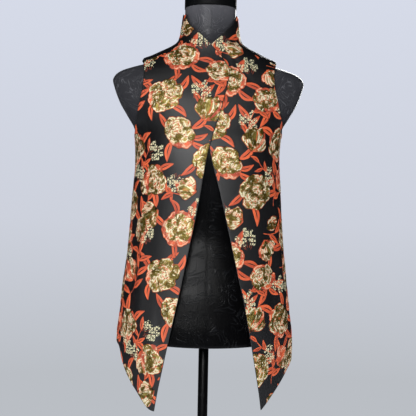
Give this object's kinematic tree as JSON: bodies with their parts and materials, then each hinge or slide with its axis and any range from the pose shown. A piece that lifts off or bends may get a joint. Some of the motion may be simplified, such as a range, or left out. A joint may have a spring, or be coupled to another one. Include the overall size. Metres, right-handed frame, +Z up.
{
  "type": "brocade vest on dress form",
  "caption": "Sleeveless wrap-front brocade vest with stand collar, open inverted-V front and pointed tails, on a limbless dress form with pole and round base.",
  "frame": {"origin": "centre of the underside of the round base, on the floor below the pole", "axes": "+Z up along the pole, -Y towards the front of the vest, +X to the wearer's left"},
  "size_m": [0.3828, 0.36, 1.5],
  "materials": {
    "brocade": "black satin-ground brocade with raised metallic gold and cream roses, coral leaves and stems, small gold sprigs",
    "black_satin": "plain black satin with a soft sheen",
    "form_cover": "charcoal stretch cover with a faint tone-on-tone scroll pattern",
    "cap_plastic": "smooth black plastic with a dull shine",
    "stand_steel": "black paint on steel, satin gloss"
  },
  "bodies": {
    "root": {"front_right": "brocade", "front_left": "brocade", "back": "black_satin", "collar_back": "black_satin", "form_torso": "form_cover", "neck_cap": "cap_plastic", "pole": "stand_steel", "base": "stand_steel"}
  },
  "joints": []
}
